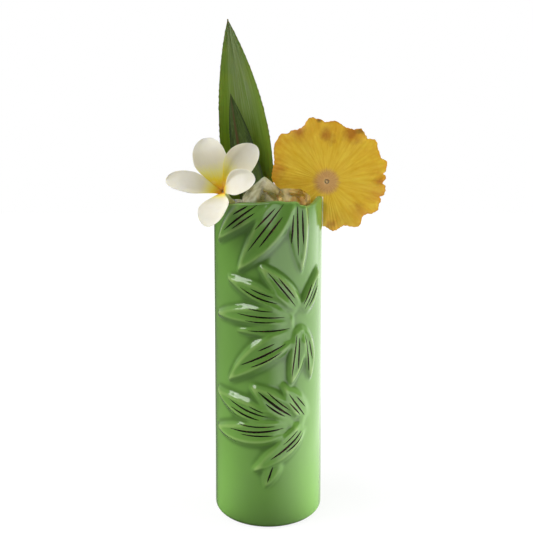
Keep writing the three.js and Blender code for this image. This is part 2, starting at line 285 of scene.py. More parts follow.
def make_world():
    """Soft light from the left, the back and above, and a dark front.
    The camera itself sees plain white."""
    world = bpy.data.worlds.new("studio")
    bpy.context.scene.world = world
    world.use_nodes = True
    tree = world.node_tree
    tree.nodes.clear()

    def node(kind, **settings):
        made = tree.nodes.new("ShaderNode" + kind)
        for key, value in settings.items():
            setattr(made, key, value)
        return made

    def math_node(operation, a, b):
        made = node("Math", operation=operation, use_clamp=False)
        for socket, value in zip(made.inputs, (a, b)):
            if hasattr(value, "links"):
                tree.links.new(value, socket)
            else:
                socket.default_value = value
        return made.outputs[0]

    def lobe(axis, low, high, power, strength):
        ramp = node("MapRange")
        tree.links.new(axis, ramp.inputs["Value"])
        ramp.inputs["From Min"].default_value = low
        ramp.inputs["From Max"].default_value = high
        return math_node("MULTIPLY", math_node("POWER", ramp.outputs["Result"], power), strength)

    split = node("SeparateXYZ")
    tree.links.new(node("TexCoord").outputs["Generated"], split.inputs[0])
    x, y, z = split.outputs
    left = lobe(x, -0.3, -1.0, 1.2, 0.3)
    back = lobe(y, 0.1, 1.0, 1.0, 0.7)
    up = lobe(z, 0.3, 1.0, 1.0, 0.3)
    total = math_node("ADD", math_node("ADD", left, back), math_node("ADD", up, 0.02))
    lighting = node("Background")
    tree.links.new(total, lighting.inputs["Strength"])
    shown = node("Background")
    shown.inputs["Color"].default_value = (1, 1, 1, 1)
    mix = node("MixShader")
    tree.links.new(node("LightPath").outputs["Is Camera Ray"], mix.inputs[0])
    tree.links.new(lighting.outputs[0], mix.inputs[1])
    tree.links.new(shown.outputs[0], mix.inputs[2])
    tree.links.new(mix.outputs[0], node("OutputWorld").inputs["Surface"])


def make_floor():
    """White paper that shows only a faint contact shadow and has little diffuse bounce of its own. It glows
    as painted light: towards the right for reflections, and beside the mug for bounce light.
    """
    reach = 3000
    corners = [(-reach, -reach, 0), (reach, -reach, 0), (reach, reach, 0), (-reach, reach, 0)]
    floor = make_mesh("floor", corners, [(0, 1, 2, 3)])
    m = Nodes("floor_paper")
    m.set(Base_Color=(0.16, 0.16, 0.16, 1), Roughness=0.95, Specular_IOR_Level=0.0)
    away = m.node("VectorMath", operation="LENGTH")
    m.link(m.place(), away.inputs[0])
    glow = m.spread(away.outputs["Value"], 0.06, 0.4, 0.84, 1.0)
    rays = m.node("LightPath").outputs
    seen, mirrored = rays["Is Camera Ray"], rays["Is Glossy Ray"]
    m.set(Emission_Color=(1, 1, 1, 1))
    side = m.node("SeparateXYZ")
    m.link(m.place(), side.inputs[0])
    # painted pool of light: for reflections the floor glows brighter towards the right, as if lit by the
    # right-hand scrim
    painted_light_pool = m.spread(side.outputs["X"], 0.0, 0.12, 0.0, 1.6)
    glow = m.math("ADD", m.times(glow, seen), m.times(painted_light_pool, mirrored))
    # painted bounce light: for diffuse rays the floor glows beside the mug on the left and the right
    left = m.spread(side.outputs["X"], -0.025, -0.05, 0.0, 4.0)
    right = m.spread(side.outputs["X"], 0.02, 0.05, 0.0, 5.0)
    near = m.spread(away.outputs["Value"], 0.08, 0.2, 1.0, 0.06)
    painted_bounce_glow = m.times(m.math("ADD", left, right), near)
    glow = m.math("ADD", glow, m.times(painted_bounce_glow, rays["Is Diffuse Ray"]))
    m.set(Emission_Strength=glow)
    floor.data.materials.append(m.material)


def make_studio():
    area_light("fill_left", (-0.8, 0.0, 0.82), (0, 0, 0.1), (0.8, 0.66), 4.2, mirrored=False)
    area_light("softbox_low_left", (-0.73, -0.26, 0.53), (0, 0, 0.1), (0.40, 0.20), 5.0)
    area_light("softbox_front_left", (-0.50, -0.44, 0.74), (0, 0, 0.12), (0.62, 0.30), 5.5)
    soft = [(0.0, 0.0), (0.48, 0.02), (0.80, 0.8), (0.92, 0.9), (1.0, 0.4)]
    area_light("scrim_right", (0.77, -0.18, 0.2), (0, 0, 0.2), (2.2, 1.2), 1.5, soft)
    full = [(0.0, 0.0), (0.30, 0.08), (0.55, 0.8), (0.85, 1.0), (1.0, 0.6)]
    area_light("fill_right", (0.77, -0.18, 0.15), (0, 0, 0.12), (2.2, 1.0), 6.7, full, mirrored=False)
    make_world()
    make_floor()
    bpy.context.scene.view_settings.view_transform = "Standard"


# ------------------------------------------------------------------ material helper
class Nodes:
    """A material with a Principled shader and short ways to add and link nodes."""

    def __init__(self, name):
        self.material = bpy.data.materials.new(name)
        self.material.use_nodes = True
        self.tree = self.material.node_tree
        self.tree.nodes.clear()
        self.output = self.tree.nodes.new("ShaderNodeOutputMaterial")
        self.shader = self.tree.nodes.new("ShaderNodeBsdfPrincipled")
        self.link(self.shader.outputs[0], self.output.inputs["Surface"])

    def link(self, a, b):
        self.tree.links.new(a, b)

    def node(self, kind, **settings):
        made = self.tree.nodes.new("ShaderNode" + kind)
        for key, value in settings.items():
            setattr(made, key, value)
        return made

    def set(self, **values):
        for key, value in values.items():
            self.feed(self.shader.inputs[key.replace("_", " ")], value)

    def feed(self, socket, value):
        if hasattr(value, "links"):
            self.link(value, socket)
        else:
            socket.default_value = value

    def attribute(self, name):
        return self.node("Attribute", attribute_name=name).outputs["Fac"]

    def place(self, scale=(1, 1, 1)):
        mapping = self.node("Mapping")
        mapping.inputs["Scale"].default_value = scale
        self.link(self.node("TexCoord").outputs["Object"], mapping.inputs["Vector"])
        return mapping.outputs[0]

    def vector(self, x, y, z=0.0):
        joined = self.node("CombineXYZ")
        for socket, value in zip(joined.inputs, (x, y, z)):
            self.feed(socket, value)
        return joined.outputs[0]

    def noise(self, vector, scale, detail=3.0, roughness=0.5):
        made = self.node("TexNoise")
        self.link(vector, made.inputs["Vector"])
        made.inputs["Scale"].default_value = scale
        made.inputs["Detail"].default_value = detail
        made.inputs["Roughness"].default_value = roughness
        return made.outputs["Fac"]

    def math(self, operation, a, b=0.0, clamp=False):
        made = self.node("Math", operation=operation, use_clamp=clamp)
        self.feed(made.inputs[0], a)
        self.feed(made.inputs[1], b)
        return made.outputs[0]

    def ramp(self, factor, *stops):
        """A colour ramp through (position, linear rgb) stops."""
        made = self.node("ValToRGB")
        elements = made.color_ramp.elements
        while len(elements) < len(stops):
            elements.new(0.5)
        for element, (position, colour) in zip(elements, stops):
            element.position = position
            element.color = (*colour, 1)
        self.link(factor, made.inputs[0])
        return made.outputs["Color"]

    def spread(self, factor, low, high, to_low=0.0, to_high=1.0):
        made = self.node("MapRange")
        self.link(factor, made.inputs["Value"])
        for key, value in (("From Min", low), ("From Max", high), ("To Min", to_low), ("To Max", to_high)):
            made.inputs[key].default_value = value
        return made.outputs["Result"]

    def times(self, a, b, clamp=False):
        return self.math("MULTIPLY", a, b, clamp)

    def mix(self, factor, a, b):
        made = self.node("Mix", data_type="RGBA")
        self.feed(made.inputs["Factor"], factor)
        colours = [s for s in made.inputs if s.type == "RGBA"]
        for socket, value in zip(colours, (a, b)):
            if hasattr(value, "links"):
                self.link(value, socket)
            else:
                socket.default_value = (*value, 1)
        return [s for s in made.outputs if s.type == "RGBA"][0]

    def bump(self, height, strength, distance, normal=None):
        made = self.node("Bump")
        made.inputs["Strength"].default_value = strength
        made.inputs["Distance"].default_value = distance
        self.link(height, made.inputs["Height"])
        if normal is not None:
            self.link(normal, made.inputs["Normal"])
        return made.outputs["Normal"]


# ------------------------------------------------------------------ mug
def outer_radius(z):
    return BASE_RADIUS + (RIM_RADIUS - BASE_RADIUS) * z / MUG_HEIGHT


def rim_height(arc):
    return MUG_HEIGHT + eased(RIM_WAVE, HALF_TURN, arc)


def seen_over(place, standoff):
    """Where a point `standoff` off the wall is, if the camera sees it over the wall's point `place`."""
    arc, z = place
    side = BASE_RADIUS * math.sin(arc / BASE_RADIUS) / (BASE_RADIUS + standoff)
    return BASE_RADIUS * math.asin(side), z + (EYE[2] - z) * standoff / EYE_DISTANCE


def placed_relief():
    """The raised leaves and their strokes at their real places on the wall."""
    placed = []
    for leaf in READ_RELIEF:
        ends = {key: seen_over(leaf[key], LEAF_STANDOFF) for key in ("base", "tip")}
        strokes = [(seen_over(start, STROKE_STANDOFF), seen_over(end, STROKE_STANDOFF), *rest)
                   for start, end, *rest in leaf["strokes"]]
        placed.append({**leaf, **ends, "strokes": strokes})
    return placed


def leaf_edge_distance(leaf, arc, z):
    """How far a wall point lies inside a raised leaf's outline, how far it is from the base, and its
    signed share of the half width."""
    base, tip = np.array(leaf["base"], float), np.array(leaf["tip"], float)
    along = tip - base
    length = np.linalg.norm(along)
    along /= length
    ds, dz = arc - base[0], z - base[1]
    reach = ds * along[0] + dz * along[1]
    u = np.clip(reach / length, 0, 1)
    side = ds * along[1] - dz * along[0] - leaf["bow"] * np.sin(math.pi * u)
    shape = np.sin(math.pi * (BASE_SHARE + (1 - BASE_SHARE) * u) ** 0.9) ** 0.8
    half = leaf["width"] / 2 * shape
    past = np.maximum(reach - length, 0) + np.maximum(-reach, 0)
    inside = half - np.abs(side)
    inside = np.where(reach < length, np.minimum(inside, reach * BASE_RAMP), inside)
    distance = np.where(past > 0, -np.hypot(np.maximum(-inside, 0), past), inside)
    return distance, reach, np.clip(side / np.maximum(half, 0.3), -1, 1)


def blur(grid, spread, axis, around):
    """Gaussian blur along one axis; `spread` is in grid steps."""
    reach = int(3 * spread) + 1
    weights = np.exp(-0.5 * (np.arange(-reach, reach + 1) / spread) ** 2)
    weights /= weights.sum()
    width = [(0, 0), (0, 0)]
    width[axis] = (reach, reach)
    padded = np.pad(grid, width, mode="wrap" if around else "edge")
    count = grid.shape[axis]
    return sum(w * np.take(padded, np.arange(k, k + count), axis=axis) for k, w in enumerate(weights))


def relief_map():
    """The leaf sprays' height over the wall for one half turn, softened as by slip and glaze."""
    columns = round(HALF_TURN / MAP_STEP)
    rows = round(MAP_TOP / MAP_STEP) + 1
    arc = np.arange(columns)[None, :] * HALF_TURN / columns
    arc = np.where(arc > HALF_TURN / 2, arc - HALF_TURN, arc)
    z = np.arange(rows)[:, None] * MAP_TOP / (rows - 1)
    total = np.zeros((rows, columns))
    for leaf in RELIEF:
        soft = leaf.get("soft", 1.0)
        distance, reach, share = leaf_edge_distance(leaf, arc, z)
        rise = smoothstep(-SKIRT * soft, RIDGE_INSET * soft, distance)
        hollow = RELIEF_CUP * (1 - share ** 2) * smoothstep(0.3, 3.0, distance)
        top = leaf.get("height", RELIEF_HEIGHT) * (1 + leaf.get("lean", 0) * share)
        top = top * (0.35 + 0.65 * smoothstep(-1, BASE_FADE, reach))
        total += (top * rise * (1 - hollow)) ** 4
    total = total ** 0.25
    for knot_arc, knot_z, wide, high, lift in KNOTS:
        total += lift * np.exp(-((arc - knot_arc) / wide) ** 2 - ((z - knot_z) / high) ** 2)
    total = np.maximum(total, 0)
    total = blur(total, SOFTNESS / MAP_STEP, 0, around=False)
    return blur(total, SOFTNESS / MAP_STEP, 1, around=True)


def relief(arc, z):
    """Height of the leaf sprays over the plain wall at any point of it."""
    rows, columns = RELIEF_MAP.shape
    arc, z = np.broadcast_arrays(np.asarray(arc, float), np.asarray(z, float))
    across = np.mod(arc, HALF_TURN) / HALF_TURN * columns
    up = np.clip(z / MAP_TOP, 0, 1) * (rows - 1.001)
    c, r = np.floor(across).astype(int), np.floor(up).astype(int)
    s, t = across - c, up - r
    c, d = c % columns, (c + 1) % columns
    return ((RELIEF_MAP[r, c] * (1 - s) + RELIEF_MAP[r, d] * s) * (1 - t)
            + (RELIEF_MAP[r + 1, c] * (1 - s) + RELIEF_MAP[r + 1, d] * s) * t)


def mug_point(arc, z, lift=0.0):
    angle = np.asarray(arc) / BASE_RADIUS
    r = outer_radius(z) + relief(arc, z) + lift
    return np.stack([r * np.sin(angle), -r * np.cos(angle), z + 0 * r], -1)


def ring_points(radius, z, angle):
    radius, z = np.broadcast_arrays(radius, z)
    return np.stack([radius * np.sin(angle), -radius * np.cos(angle), z + 0 * angle], -1)


MUG_COLUMNS = 440
MUG_ROWS = 360
LIP_ROUND = 1.7
# Underside from the centre outwards, as (radius, height): a shallow recess inside the foot ring.
UNDERSIDE = [(8, 0.5), (16, 0.5), (23, 0.5), (25, 0.4), (26, 0.0), (28, 0.0)]
# Height below the mug's top from which the wall's rows start to follow the wavy rim.
RIM_REACH = 45
GLAZE_FLOW_PASSES = 30
LIP_SHAPE = 0.75
FLOOR_MIDDLE = 12
BISQUE_TOP = 0.8
BISQUE_RADIUS = 31.2


def glaze_material():
    m = Nodes("celadon_glaze")
    thin = m.attribute("crest_glaze_and_highlight")
    pooling_and_shade_mask = m.attribute("hollow")
    mottle = m.noise(m.place(), 55, 4, 0.6)
    cloud = m.noise(m.place((1, 1, 0.4)), 14, 2)
    base = m.mix(cloud, (0.110, 0.245, 0.040), (0.135, 0.285, 0.052))
    base = m.mix(m.spread(mottle, 0.35, 0.75, 0, 0.35), base, (0.115, 0.24, 0.042))
    # painted shade, partly pooled glaze: darker in the hollows and under the leaves
    base = m.mix(m.spread(pooling_and_shade_mask, 0, 1, 0, 0.85), base, (0.055, 0.130, 0.018))
    # painted highlight, partly thin glaze: lighter on the crests and the lip
    base = m.mix(m.spread(thin, 0, 1, 0, 0.65), base, (0.29, 0.43, 0.13))
    m.set(Base_Color=base)
    m.set(IOR=1.6)
    fine = m.noise(m.place(), 900, 2)
    wave = m.noise(m.place(), 120, 2)
    m.set(Roughness=m.spread(mottle, 0.3, 0.7, 0.07, 0.15))
    normal = m.bump(wave, 0.08, 0.0006)
    m.set(Normal=m.bump(fine, 0.03, 0.0001, normal))
    return m.material


def bisque_material():
    m = Nodes("bisque_foot")
    grit = m.noise(m.place(), 1500, 4, 0.7)
    stain = m.noise(m.place(), 60, 3)
    m.set(Base_Color=m.mix(m.spread(stain, 0.3, 0.8), (0.72, 0.66, 0.55), (0.55, 0.47, 0.36)))
    m.set(Roughness=0.85)
    m.set(Normal=m.bump(grit, 0.3, 0.0002))
    return m.material


def lustre_material():
    m = Nodes("dark_lustre")
    worn = m.noise(m.place(), 420, 3, 0.6)
    m.set(Base_Color=m.ramp(worn, (0.35, (0.010, 0.008, 0.004)), (0.66, (0.03, 0.016, 0.007)),
                  (0.8, (0.20, 0.05, 0.02))))
    m.set(Metallic=0.85)
    m.set(Roughness=m.spread(worn, 0.3, 0.7, 0.18, 0.32))
    m.set(Normal=m.bump(worn, 0.25, 0.0001))
    return m.material


def make_mug():
    angle = np.arange(MUG_COLUMNS) / MUG_COLUMNS * 2 * math.pi
    arc = angle * BASE_RADIUS
    rim = rim_height(arc)
    edge = rim - LIP_ROUND
    levels = np.linspace(FOOT_ROUND, MUG_HEIGHT - LIP_ROUND, MUG_ROWS)
    rows = []
    crest_glaze_and_highlight = []
    hollow = []

    def add(points, thin=None, pooled_glaze_and_shade=None):
        rows.append(points)
        crest_glaze_and_highlight.append(np.zeros(MUG_COLUMNS) if thin is None else thin)
        hollow.append(np.zeros(MUG_COLUMNS) if pooled_glaze_and_shade is None else pooled_glaze_and_shade)

    for radius, z in UNDERSIDE:
        add(ring_points(radius, z, angle))
    for turn in np.linspace(0, math.pi / 2, 8)[:-1]:
        add(ring_points(BASE_RADIUS - FOOT_ROUND + FOOT_ROUND * math.sin(turn),
                        FOOT_ROUND - FOOT_ROUND * math.cos(turn), angle))
    # outer wall with its raised leaves; the upper rows follow the rim
    lift = smoothstep(MUG_HEIGHT - RIM_REACH, MUG_HEIGHT - LIP_ROUND, levels)
    z = levels[:, None] + lift[:, None] * (rim - MUG_HEIGHT)[None, :]
    height = relief(arc[None, :], z)
    soft = height.copy()
    for _ in range(GLAZE_FLOW_PASSES):
        soft = 0.5 * soft + 0.25 * (np.roll(soft, 1, 1) + np.roll(soft, -1, 1))
        soft[1:-1] = 0.5 * soft[1:-1] + 0.25 * (soft[2:] + soft[:-2])
    # crests get a lighter colour, partly thin glaze and partly painted highlight; hollows get a darker one,
    # partly pooled glaze and partly painted shade; the downward-facing undersides of the leaves, where shade
    # falls, are darkened as painted shade and lose the crest colour
    painted_underside_shade = smoothstep(0.10, 0.55, np.gradient(height, axis=0) / np.gradient(z, axis=0))
    thin = smoothstep(0.15, 0.75, height - soft) * (1 - 0.75 * painted_underside_shade)
    pooled_glaze_and_shade = np.maximum(smoothstep(0.06, 0.45, soft - height), 0.85 * painted_underside_shade)
    radius = outer_radius(z) + height
    for k in range(MUG_ROWS):
        add(ring_points(radius[k], z[k], angle), thin[k], pooled_glaze_and_shade[k])
    # lip; its rounded top gets the crest colour, partly thin glaze and partly painted highlight
    middle = (radius[-1] + BORE_RADIUS) / 2
    half = (radius[-1] - BORE_RADIUS) / 2
    for turn in np.linspace(0, math.pi, 15)[1:-1]:
        c, s = math.cos(turn), math.sin(turn)
        out = half * math.copysign(abs(c) ** LIP_SHAPE, c)
        add(ring_points(middle + out, edge + LIP_ROUND * s ** LIP_SHAPE, angle), 0.55 * s + 0 * angle)
    # bore and floor
    for share in np.linspace(0, 1, 14):
        depth = edge + (FLOOR + FLOOR_ROUND - edge) * share
        add(ring_points(BORE_RADIUS, depth, angle))
    for turn in np.linspace(0, math.pi / 2, 7)[1:]:
        add(ring_points(BORE_RADIUS - FLOOR_ROUND + FLOOR_ROUND * math.cos(turn),
                        FLOOR + FLOOR_ROUND - FLOOR_ROUND * math.sin(turn), angle))
    add(ring_points(FLOOR_MIDDLE, FLOOR, angle))

    points = np.stack(rows)
    count = len(rows)
    quads = grid_quads(count, MUG_COLUMNS, around=True)
    flat = points.reshape(-1, 3)
    flat = np.concatenate([flat, [[0, 0, UNDERSIDE[0][1]], [0, 0, FLOOR]]])
    under, inside = len(flat) - 2, len(flat) - 1
    last = (count - 1) * MUG_COLUMNS
    tris = []
    for c in range(MUG_COLUMNS):
        d = (c + 1) % MUG_COLUMNS
        tris.append((under, d, c))
        tris.append((inside, last + c, last + d))
    mug = make_mesh("mug", flat, quads, tris, {
        "crest_glaze_and_highlight": np.concatenate([np.ravel(crest_glaze_and_highlight), [0, 0]]),
        "hollow": np.concatenate([np.ravel(hollow), [0, 0]])})
    finish_piece(mug, glaze_material(), "mug", ["mug_body"])
    mug.data.materials.append(bisque_material())
    middles = [p.center / MM for p in mug.data.polygons]
    bare = np.array([p.z < BISQUE_TOP and math.hypot(p.x, p.y) < BISQUE_RADIUS for p in middles])
    mug.data.polygons.foreach_set("material_index", bare.astype(np.int32))


STROKE_CROWN = 0.10
STROKE_SINK = 0.12


def make_strokes():
    """The painted lines: thin slivers that lie on the relief, all in one piece."""
    steps, sides = 28, 5
    count = steps * sides
    points, quads, tris = [], [], []
    t = np.linspace(0, 1, steps)
    across = np.linspace(-1, 1, sides)
    first = 0
    for half_turn in (0, 1):
        for leaf in RELIEF:
            for start, end, width, *sag in leaf["strokes"]:
                start, end = np.array(start, float), np.array(end, float)
                line = start + (end - start) * t[:, None]
                line[:, 1] -= sum(sag) * np.sin(math.pi * t)
                normal = np.array([end[1] - start[1], start[0] - end[0]])
                normal /= np.linalg.norm(normal)
                half = width / 2 * np.sin(math.pi * np.clip(t, 0.01, 0.99)) ** 0.55
                spot = line[:, None, :] + (across[None, :, None] * half[:, None, None]) * normal
                spot[..., 0] += half_turn * HALF_TURN
                crown = STROKE_CROWN * (1 - 0.6 * across[None, :] ** 2)
                top = mug_point(spot[..., 0], spot[..., 1], crown)
                under = mug_point(spot[..., 0], spot[..., 1], -STROKE_SINK)
                points += [top.reshape(-1, 3), under.reshape(-1, 3)]
                quads.append(grid_quads(steps, sides, first=first))
                quads.append(grid_quads(steps, sides, first=first + count)[:, ::-1])
                ring = border_ring(steps, sides) + first
                after = np.roll(ring, -1)
                quads.append(np.stack([after, ring, ring + count, after + count], -1))
                first += 2 * count
    strokes = make_mesh("lustre_strokes", np.concatenate(points), np.concatenate(quads))
    finish_piece(strokes, lustre_material(), "mug", [])


# ------------------------------------------------------------------ pineapple leaves
LARGE_LEAF = dict(spine=[(-8, 12, 145), (-11.6, 13, 195), (-14, 14, 226), (-18.6, 15, 261),
                         (-24.3, 17, 297)],
                  widest_at=212, width=31, cut_width=20, channel=4.5, thickness=1.7)
SMALL_LEAF = dict(spine=[(-3, 6.3, 158), (-8.5, 6.5, 190), (-16.4, 7, 226), (-22.4, 8, 252.5)],
                  widest_at=200, width=17, cut_width=11, channel=2.2, thickness=1.5)
LEAF_ROWS = 120
LEAF_COLUMNS = 49
LEAF_RIBS = (17, 25, 38, 54)
TOOTH_PITCH = 260


def leaf_piece(name, leaf, ribs, teeth, material, body, node, seed):
    """A channelled blade with lengthwise ribs, thin edges and fine teeth along its margin."""
    draws = np.random.default_rng(seed)
    share = np.linspace(0, 1, LEAF_ROWS)
    centre = catmull_rom(leaf["spine"], share)
    level = centre[:, 2]
    to_tip = np.clip((level - leaf["widest_at"]) / (level[-1] - leaf["widest_at"]), 0, 1)
    to_cut = np.clip((leaf["widest_at"] - level) / (leaf["widest_at"] - level[0]), 0, 1)
    full = leaf["width"] * (1 - to_tip ** 2.1)
    full = full + (leaf["cut_width"] - full) * smoothstep(0, 1, to_cut)
    full = np.maximum(full, 0.35)
    tooth = teeth * np.maximum(0, np.sin(share * TOOTH_PITCH + draws.normal(0, 0.5, LEAF_ROWS))) ** 3
    t = np.sin(np.linspace(-math.pi / 2, math.pi / 2, LEAF_COLUMNS))
    half = full[:, None] / 2 + tooth[:, None] * (np.abs(t) > 0.995)
    phase = draws.uniform(0, WAVE_TURN, len(LEAF_RIBS))
    rib = sum(np.sin(t[None, :] * k + phase[j] + 0.8 * share[:, None]) / 4
              for j, k in enumerate(LEAF_RIBS))
    cup = leaf["channel"] * np.abs(t[None, :]) ** 2.3 * np.minimum(1, full / leaf["width"])[:, None]
    wave = 0.5 * np.sin(share * 9 + 1)[:, None] * t[None, :] ** 2
    keel = 0.5 * np.exp(-(t[None, :] / 0.12) ** 2)
    skin = leaf["thickness"] / 2 * (1 - 0.75 * t ** 2)[None, :] * np.minimum(1, full / 6)[:, None]
    x = centre[:, 0][:, None] + half * t[None, :]
    y = centre[:, 1][:, None] - cup + wave + keel
    z = np.repeat(level[:, None], LEAF_COLUMNS, 1)
    front = np.stack([x, y - skin - ribs * rib, z], -1)
    back = np.stack([x, y + skin - ribs * rib, z], -1)
    across = np.repeat(t[None, :], LEAF_ROWS, 0)
    along = np.repeat(share[:, None], LEAF_COLUMNS, 1)
    thing = sheet_mesh(name, front, back, {"across": across, "along": along})
    finish_piece(thing, material, body, [node])


def large_leaf_material():
    m = Nodes("pineapple_leaf")
    across, along = m.attribute("across"), m.attribute("along")
    lengthwise = m.vector(m.times(across, 14.0), m.times(along, 3.0))
    fibres = m.noise(lengthwise, 1.6, 4, 0.6)
    fine = m.noise(m.vector(m.times(across, 60.0), m.times(along, 6.0)), 1.0, 2)
    blotch = m.noise(m.place(), 70, 3)
    green = m.ramp(along, (0.15, srgb(86, 116, 4)), (0.5, srgb(114, 148, 12)),
                   (0.75, srgb(108, 138, 34)), (0.97, srgb(90, 112, 42)))
    # painted sheen: a grey-green streak down the middle of the upper blade
    middle = m.spread(m.math("ABSOLUTE", m.math("SUBTRACT", across, 0.1)), 0.75, 0.35)
    painted_sheen = m.mix(m.times(m.spread(along, 0.42, 0.7, 0.0, 0.85), middle), green, srgb(132, 146, 100))
    colour = m.mix(m.spread(fibres, 0.30, 0.6), green, painted_sheen)
    colour = m.mix(m.spread(fibres, 0.55, 0.3, 0.0, 0.55), colour, srgb(78, 104, 12))
    colour = m.mix(m.spread(fine, 0.3, 0.7, 0.0, 0.25), colour, srgb(76, 100, 24))
    colour = m.mix(m.spread(blotch, 0.5, 0.8, 0.0, 0.35), colour, srgb(136, 156, 30))
    rim = m.spread(m.math("ABSOLUTE", across), 0.93, 1.0, 0.0, 0.5)
    colour = m.mix(rim, colour, srgb(70, 96, 8))
    m.set(Base_Color=colour)
    m.set(IOR=1.45, Subsurface_Weight=0.12, Subsurface_Scale=0.002)
    m.set(Roughness=m.spread(fibres, 0.3, 0.7, 0.36, 0.52))
    normal = m.bump(fibres, 0.5, 0.0005)
    m.set(Normal=m.bump(fine, 0.35, 0.0002, normal))
    return m.material


def small_leaf_material():
    m = Nodes("pineapple_leaf_dark")
    across, along = m.attribute("across"), m.attribute("along")
    fibres = m.noise(m.vector(m.times(across, 9.0), m.times(along, 2.5)), 1.6, 4, 0.6)
    painted_highlight_streaks = m.noise(m.vector(m.times(across, 7.0), m.times(along, 14.0)), 1.6, 4, 0.65)
    # a darker green than the large leaf, partly its own colour and partly painted shade for a concave blade
    # in front of the large one
    colour = m.mix(m.spread(fibres, 0.32, 0.66), srgb(24, 40, 2), srgb(80, 104, 26))
    # painted highlights: pale grey crinkly streaks along the blade
    colour = m.mix(m.spread(painted_highlight_streaks, 0.52, 0.72, 0.0, 0.6), colour, srgb(104, 124, 84))
    midrib = m.math("ABSOLUTE", m.math("ADD", across, 0.32))
    colour = m.mix(m.spread(midrib, 0.16, 0.03, 0.0, 0.8), colour, srgb(84, 50, 26))
    rim = m.spread(m.math("ABSOLUTE", across), 0.72, 0.95, 0.0, 0.8)
    colour = m.mix(rim, colour, srgb(26, 40, 4))
    m.set(Base_Color=colour)
    m.set(IOR=1.45)
    m.set(Roughness=m.spread(fibres, 0.3, 0.7, 0.38, 0.55))
    m.set(Normal=m.bump(fibres, 0.6, 0.0005))
    return m.material


# ------------------------------------------------------------------ plumeria
THROAT = np.array([-26.4, -21, 196.4])
FACING = unit([-0.28, -0.85, 0.42])
PETALS = [
    dict(tip=(-36.3, -14, 225.3), width=18.8, arch=5.0, twist=0.16, roll=0.8, yellow=0.95),
    dict(tip=(-6.9, -22, 220.9), width=16, arch=4.5, twist=0.30, roll=2.2, yellow=1.0),
    dict(tip=(-7.2, -40, 203.0), width=13.5, arch=4.0, twist=0.22, roll=1.6, yellow=0.4),
    dict(tip=(-31.4, -41, 177.6), width=18.2, arch=4.0, twist=0.10, roll=0.6, yellow=0.55),
    dict(tip=(-56.9, -24, 202.5), width=14.5, arch=4.0, twist=0.18, roll=0.8, yellow=0.7),
]
PETAL_ROWS = 48
PETAL_COLUMNS = 29
# The tube from the petals backwards, as (depth, radius).
TUBE = [(-3.2, 1.5), (-3.8, 1.9), (-5, 1.9), (-8, 1.65), (-13, 1.5), (-17, 1.55), (-19, 1.75),
        (-19.8, 1.3), (-20, 0.5)]
TUBE_COLUMNS = 24
TUBE_MARK = 1.4


def petal_grids(petal, seed):
    draws = np.random.default_rng(seed)
    u = 1 - (1 - np.linspace(0, 1, PETAL_ROWS)[:, None]) ** 1.7
    v = np.sin(np.linspace(-math.pi / 2, math.pi / 2, PETAL_COLUMNS))[None, :]
    end = np.array(petal["tip"], float)
    along = unit(end - THROAT)
    side = unit(np.cross(along, FACING))
    rise = np.cross(side, along)
    start = THROAT - 3.0 * FACING + 0.9 * along
    bend = THROAT + 0.45 * (end - THROAT) + petal["arch"] * rise
    spine = (((1 - u) ** 2)[..., None] * start + (2 * u * (1 - u))[..., None] * bend
             + (u ** 2)[..., None] * end)
    opening = smoothstep(0.0, 0.60, u)
    shape = (0.24 + 0.76 * opening) * np.sqrt(np.clip(1 - (np.clip(u - 0.55, 0, 1) / 0.45) ** 2.4, 0, 1))
    half = petal["width"] / 2 * np.maximum(shape, 0.03)
    wave = 0.25 * np.sin(u * 7 + draws.uniform(0, 6)) * v
    rolled = smoothstep(0.1, 0.5, u) * (1 - smoothstep(0.72, 0.97, u))
    curl = petal["roll"] * smoothstep(0.55, 1.0, -v) * rolled
    lift = (0.13 * half * v ** 2 - petal["twist"] * half * v + curl
            + wave * smoothstep(0.2, 0.8, u) - 0.8 * smoothstep(0.75, 1, u) * (1 - v ** 2) * shape)
    sideways = half * v + 0.35 * curl
    middle = spine + sideways[..., None] * side + lift[..., None] * rise
    normal = unit(np.cross(np.gradient(middle, axis=0), np.gradient(middle, axis=1)))
    normal = normal * np.sign(np.sum(normal * rise, -1, keepdims=True))
    skin = (0.45 * (1 - 0.45 * v ** 2) * np.minimum(1, 0.4 + 3 * (1 - u)))[..., None]
    return middle + normal * skin, middle - normal * skin, u + 0 * v, v + 0 * u


def tube_rings():
    """The slender tube behind the petals, closed at its far end."""
    side = unit(np.cross(FACING, [0, 0, 1]))
    up = np.cross(side, FACING)
    angle = np.arange(TUBE_COLUMNS) / TUBE_COLUMNS * 2 * math.pi
    rings = []
    for depth, radius in TUBE:
        middle = THROAT + FACING * depth
        rings.append(middle + radius * (np.cos(angle)[:, None] * side + np.sin(angle)[:, None] * up))
    return np.array(rings)


